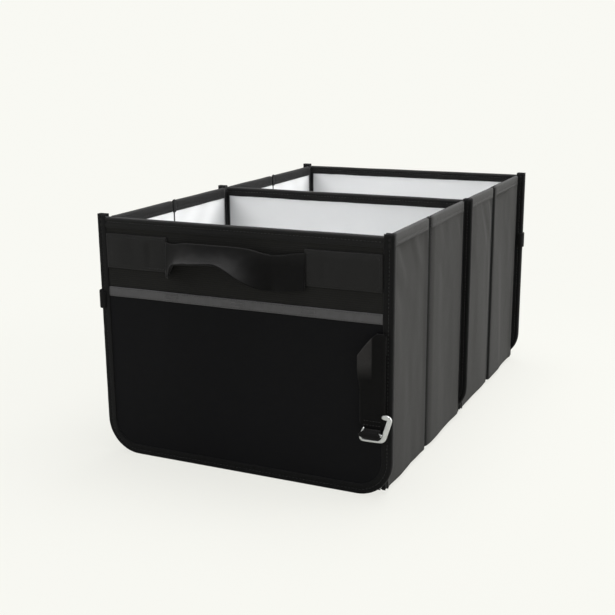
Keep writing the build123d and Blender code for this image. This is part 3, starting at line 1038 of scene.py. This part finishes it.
def closure_strap(end_name, end):
    """The strap leaves the right binding sideways, folds down along a slant and hangs to the hook's loop."""
    body = end_name + "_strap"
    place = face_map(end, BOARD_FACE)
    left, right = strap_low.x, strap_high.x
    width = right - left
    low = LOOP_HEIGHT - 1.5
    pinch, shift = 0.464, 2.4

    def hanging(r, c, front):
        height = low + (fold_height(c) - 0.6 - low) * r
        narrow = 1 - pinch * smooth_step((LOOP_HEIGHT + 11 - height) / 10)
        middle = left + width / 2 + shift * (1 - narrow)
        across = middle + (c - 0.5) * width * narrow + 0.5 * wave(0, height, 0, 45, 3)
        curl = -1.0 * bell(fold_height(c) - height, 1.6)
        crown = 0.2 * (1 - abs(2 * c - 1) ** 6)
        thin = 1 - 0.7 * smooth_step((c - 0.90) / 0.10)
        thick = (STRAP_THICK + crown) * thin + curl if front else 0.0
        return place(across, stand_off(c, height) + thick, height)

    def under(r, c, front):
        share = STRAP_SLANT_SHARE * r
        height = fold_height(share)
        across = right + (left + width * share - right) * c
        rise = stand_off(share, height) - 1.65
        out = 0.55 + rise * c * c + (1.1 if front else 0.0)
        return place(across, out, height - 0.7 - 2.0 * (1 - c) * r)

    hang = sheet(f"{end_name}_strap_hang", 70, 20, hanging, STRAP_FACET)
    attach(hang, body, "webbing", f"{end_name}_closure_strap")
    attach(sheet(f"{end_name}_strap_root", 20, 18, under, STRAP), body, "webbing")
    strap_loop(end_name, place, (left + right) / 2 + 1.0)
    for k in range(2):
        height = LOOP_HEIGHT + 8 + 4 * k
        path = [place(left + 2.5 + (width - 5) * c, stand_off(c, height) + STRAP_THICK + 0.25, height)
                for c in steps(12)]
        stitches(f"{end_name}_strap_stitches_{k}", path, (0, end, 0), body, "webbing", 2.2, 3.0)


def strap_loop(end_name, place, middle):
    """The sewn loop round the hook's bar. Where it passes the slot it is narrow, and in front it flares."""
    rings = []
    for angle in steps(34, 178, 500):
        turn = math.radians(angle)
        front = bell((angle + 180) % 360 - 180, 42)
        rim = []
        for t in steps(12, -1, 1):
            across = middle + (SLOT_HALF + (5.2 if t < 0 else 2.6) * front) * t
            pinch = 0.5 * front * abs(t) ** 3
            rim.append((across, LOOP_RADIUS - pinch + 0.25 * wave(across, angle / 12, 0, 4.5, 8)))
        ring = []
        for thickness, order in ((0.65, rim), (-0.65, rim[::-1])):
            for across, reach in order:
                out = LOOP_OUT + (reach + thickness) * math.cos(turn)
                ring.append(place(across, out, LOOP_HEIGHT + (reach + thickness) * math.sin(turn)))
        rings.append(ring)
    loop = tube(f"{end_name}_strap_loop", rings, STRAP)
    attach(loop, None, "webbing")
    back, front = (Vector(place(middle, LOOP_OUT + side * LOOP_RADIUS, LOOP_HEIGHT)) * MM for side in (-1, 1))
    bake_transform(loop)
    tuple(back)
    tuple(front)


def rounded_path(corners, radius):
    """Points along straight runs, with each corner (except the two ends) turned by a curve."""
    path = [corners[0]]
    for before, corner, after in zip(corners, corners[1:], corners[2:]):
        come = before - corner
        leave = after - corner
        cut = min(radius, come.length / 2, leave.length / 2)
        a = corner + come.normalized() * cut
        b = corner + leave.normalized() * cut
        path += [a * (1 - t) ** 2 + corner * 2 * t * (1 - t) + b * t * t for t in steps(8)]
    path.append(corners[-1])
    return path


def hook_bar(name, place, path, half_widths, half_deep):
    """A bar with rounded rectangular sections along a path in the plane of the hook."""
    sides = 16
    rings = []
    last = len(path) - 1
    for i, here in enumerate(path):
        run = (path[min(last, i + 1)] - path[max(0, i - 1)]).normalized()
        across_bar = Vector((-run.y, run.x))
        end_round = 0.72 if i in (0, last) else 1.0
        ring = []
        for turn in steps(sides, 0, 2 * math.pi)[:-1]:
            c, q = math.cos(turn), math.sin(turn)
            wide = half_widths[i] * end_round * math.copysign(abs(c) ** 0.5, c)
            deep = half_deep * end_round * math.copysign(abs(q) ** 0.5, q)
            flat = here + across_bar * wide
            ring.append(place(flat.x, LOOP_OUT + deep, flat.y))
        rings.append(ring)
    return tube(name, rings, METAL, 1)


def closure_hook(end_name, end):
    """A flat bar bent round a closed slot, up an arm and back to an open tip, and the slot's round bar."""
    body = end_name + "_hook"
    place = face_map(end, BOARD_FACE)
    wide, side_wide, slot_wide = 2.45, 1.6, 1.15
    arm_lean, side_height, tip_reach, pin = 7.6, 13.7, 9.1, 1.7
    arm_top = Vector((hook_high.x - wide, hook_high.z - wide))
    slot_bottom = hook_low.z + slot_wide
    foot = Vector((arm_top.x - arm_lean, slot_bottom + 0.6))
    lean = arm_lean / (arm_top.y - slot_bottom)
    side_foot = Vector((hook_low.x + side_wide, slot_bottom))
    side_tip = side_foot + Vector((lean, 1.0)) * side_height
    path = rounded_path([side_tip, side_foot, foot, arm_top, arm_top - Vector((tip_reach, 0))], 5.0)
    widths = []
    for here in path:
        arm = smooth_step((here.x - foot.x + 4.5) / 5.5) if here.y < side_tip.y + 9 else 1.0
        side = smooth_step((side_foot.x + 3.5 - here.x) / 2.5) * smooth_step((here.y - slot_bottom) / 3)
        if here.x > (side_foot.x + foot.x) / 2:
            side = 0.0
        widths.append(slot_wide + (wide - slot_wide) * arm + (side_wide - slot_wide) * side)
    bar = hook_bar(f"{end_name}_hook_bar", place, path, widths, 1.5)
    attach(bar, body, "hook_metal", f"{end_name}_closure_hook")
    bar_left = side_foot.x + lean * (LOOP_HEIGHT - slot_bottom)
    run = [Vector((x, LOOP_HEIGHT)) for x in steps(6, bar_left, foot.x + 1.2)]
    attach(hook_bar(f"{end_name}_hook_pin", place, run, [pin] * len(run), pin), body, "hook_metal")


for end_name, end in ENDS:
    handle_tail(end_name, end, "left", LEFT_TAIL, 12.0 + end, LEFT_TAIL[0] + 50, f"{end_name}_handle_tails")
    handle_tail(end_name, end, "right", RIGHT_TAIL, 15.0 + end, RIGHT_TAIL[0] + 19)
    handle_grip(end_name, end, LEFT_TAIL[1] - 0.8, RIGHT_TAIL[0] + 0.8)
    face_strip(end_name, end)
    side_tab(end_name, end)
    closure_strap(end_name, end)
    closure_hook(end_name, end)


# ---------------------------------------------------------------- floors
def half_floor(bay_name, bay, part):
    """A padded half floor on its board, the cloth under it, and two soft corner gussets."""
    body = f"{bay_name}_floor_{part}"
    low, high = box_mm(body + "_board")
    y_low, y_high = sorted((abs(low.y), abs(high.y)))
    hinge_y, crease_y = (y_high, y_low) if part == "outer" else (y_low, y_high)
    away = 1 if crease_y > hinge_y else -1
    length = y_high - y_low
    straight = 2.9

    def half_at(d):
        return high.x - max(0.0, d - straight)

    def pad(r, c, front):
        d = 0.3 + (length - 0.6) * r
        half = half_at(d) - 0.4
        across = (2 * c - 1) * half
        crown = 1.1 * smooth_step(min(half - abs(across), d, length - d) / 2.2)
        level = high.z - 1.0 + crown + 0.12 * wave(across, d, 0, 40, 3 * bay)
        return (across, bay * (hinge_y + away * d), level if front else low.z + 0.05)

    def cloth(r, c, front):
        d = 0.2 + (length - 0.2) * r
        across = (2 * c - 1) * (half_at(d) - 0.6)
        return (across, bay * (hinge_y + away * d), cloth_high.z - 0.05 if front else cloth_low.z)

    attach(sheet(body + "_pad", 34, 70, pad, PAD), body, "lining_fabric", body + "_board")
    attach(sheet(body + "_base_cloth", 20, 40, cloth, BASE), body, "floor_cloth", body + "_cloth")
    root_y = bay * (hinge_y + away * straight)
    for side_name, side in (("left", -1), ("right", 1)):
        root = Vector((side * (high.x - 0.9), root_y, 0))
        tip_in = Vector((side * (half_at(length) - 0.9), bay * crease_y, 0))
        tip_out = Vector((side * cloth_high.x, bay * crease_y, 0))
        mouth = Vector((side * cloth_high.x, root_y, 0))

        def gusset(r, c, front):
            p = root.lerp(tip_in, r).lerp(mouth.lerp(tip_out, r), c)
            slack = 0.5 * math.sin(math.pi * c) * r
            return (p.x, p.y, cloth_high.z + 0.9 - slack if front else cloth_low.z + 0.1 - slack * 0.3)

        flap = sheet(f"{body}_gusset_{side_name}", 24, 14, gusset, GUSSET)
        attach(flap, body, "floor_cloth")
        direction = (tip_in - root).normalized()
        across_diagonal = Vector((-direction.y, direction.x, 0))
        if across_diagonal.dot(tip_out - tip_in) < 0:
            across_diagonal = -across_diagonal
        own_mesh(flap)


def pull_loop(bay_name):
    """A webbing arch at the middle of the floor, on its outer half."""
    low, high = box_mm(bay_name + "_pull_loop")
    reach = (high.x - low.x) / 2 * 0.9
    rise = high.z - low.z - 1.2
    half = (high.y - low.y) / 2
    middle = (low.y + high.y) / 2
    rings = []
    for turn in steps(24, 0, math.pi):
        out = Vector((math.cos(turn), 0, math.sin(turn)))
        centre = Vector((reach * out.x, middle, low.z + 0.5 + rise * out.z))
        faces = [(Vector((0, half * t, 0)), out * (0.6 + 0.12 * (1 - abs(t) ** 6))) for t in steps(8, -1, 1)]
        rings.append([centre + a + b for a, b in faces] + [centre + a - b for a, b in reversed(faces)])
    body = f"{bay_name}_floor_outer"
    loop = tube(f"{bay_name}_floor_pull", rings, STRAP)
    attach(loop, body, "webbing", f"{bay_name}_pull_loop")
    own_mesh(loop)


for bay_name, bay in ENDS:
    half_floor(bay_name, bay, "outer")
    half_floor(bay_name, bay, "inner")
    pull_loop(bay_name)


# ---------------------------------------------------------------- stage: metres from here on
BACKDROP = (0.945, 0.945, 0.896)
FLOOR_GREY = (0.40, 0.40, 0.376)
SKYLIGHT = (0.95, 0.97, 1.0)
SKYLIGHT_STRENGTH = 0.46


def floor_material():
    """Pale floor: the camera sees nearly the backdrop's colour, with soft contact shadows."""
    material = bpy.data.materials.new("pale_floor")
    material.use_nodes = True
    tree = material.node_tree
    tree.nodes.clear()
    place = add_node(tree, "TexCoord").outputs["Object"]
    reach = add_node(tree, "VectorMath", {0: place}, operation="LENGTH").outputs["Value"]
    fade = add_node(tree, "MapRange", {"Value": reach, "From Min": 0.30, "From Max": 0.75, "To Min": 0.80,
                                       "To Max": 1.0}, interpolation_type="SMOOTHSTEP")
    seen = Signal(tree, add_node(tree, "LightPath").outputs["Is Camera Ray"])
    matt = add_node(tree, "BsdfDiffuse", {"Color": FLOOR_GREY})
    glow = add_node(tree, "Emission", {"Color": BACKDROP, "Strength": 1.0})
    share = seen * fade.outputs["Result"]
    mix = add_node(tree, "MixShader", {0: share, 1: matt.outputs[0], 2: glow.outputs[0]})
    add_node(tree, "OutputMaterial", {"Surface": mix.outputs[0]})
    return material


def studio_floor():
    size, drop = 12.0, -0.0005
    mesh = bpy.data.meshes.new("studio_floor")
    corners = [(-size, -size, drop), (size, -size, drop), (size, size, drop), (-size, size, drop)]
    mesh.from_pydata(corners, [], [(0, 1, 2, 3)])
    mesh.materials.append(floor_material())
    obj = bpy.data.objects.new("studio_floor", mesh)
    bpy.context.scene.collection.objects.link(obj)


def studio_world():
    """The camera sees the backdrop's colour, and everything else sees a dimmer, cooler sky."""
    world = bpy.data.worlds.new("studio")
    world.use_nodes = True
    tree = world.node_tree
    tree.nodes.clear()
    seen = add_node(tree, "LightPath").outputs["Is Camera Ray"]
    light = add_node(tree, "Background", {"Color": SKYLIGHT, "Strength": SKYLIGHT_STRENGTH})
    backdrop = add_node(tree, "Background", {"Color": BACKDROP})
    mix = add_node(tree, "MixShader", {0: seen, 1: light.outputs[0], 2: backdrop.outputs[0]})
    add_node(tree, "OutputWorld", {"Surface": mix.outputs[0]})
    bpy.context.scene.world = world


def soft_light(name, place, target, size, power, colour=(1, 1, 1)):
    data = bpy.data.lights.new(name, "AREA")
    data.shape = "RECTANGLE"
    data.size, data.size_y = size
    data.energy = power
    data.color = colour
    obj = bpy.data.objects.new(name, data)
    bpy.context.scene.collection.objects.link(obj)
    obj.location = place
    obj.rotation_euler = (Vector(target) - Vector(place)).to_track_quat("-Z", "Y").to_euler()


def studio_camera():
    """Lens, place and turn of the camera, fitted to the crate's corners."""
    data = bpy.data.cameras.new("camera")
    data.sensor_width = 36.0
    data.lens = 60.05
    data.clip_start = 0.01
    camera = bpy.data.objects.new("camera", data)
    bpy.context.scene.collection.objects.link(camera)
    yaw, pitch, roll = (math.radians(a) for a in (24.897, -14.173, 0.4645))
    turn = Matrix.Rotation(yaw, 3, "Z") @ Matrix.Rotation(pitch, 3, "X") @ Matrix.Rotation(roll, 3, "Y")
    turn = turn @ Matrix.Rotation(math.radians(90), 3, "X")
    camera.matrix_world = Matrix.Translation((0.46605, -1.09399, 0.41432)) @ turn.to_4x4()
    bpy.context.scene.camera = camera


studio_floor()
studio_world()
soft_light("right_softbox", (2.3, 0.7, 0.9), (0, 0.05, 0.12), (1.8, 1.4), 42, (1.0, 0.99, 0.97))
soft_light("top_softbox", (0.2, 0.3, 2.4), (0, 0, 0.1), (2.0, 2.0), 128)
soft_light("front_fill", (-1.2, -1.7, 0.9), (-0.05, -0.25, 0.15), (1.2, 1.0), 5)
studio_camera()
bpy.context.scene.view_settings.view_transform = "Standard"
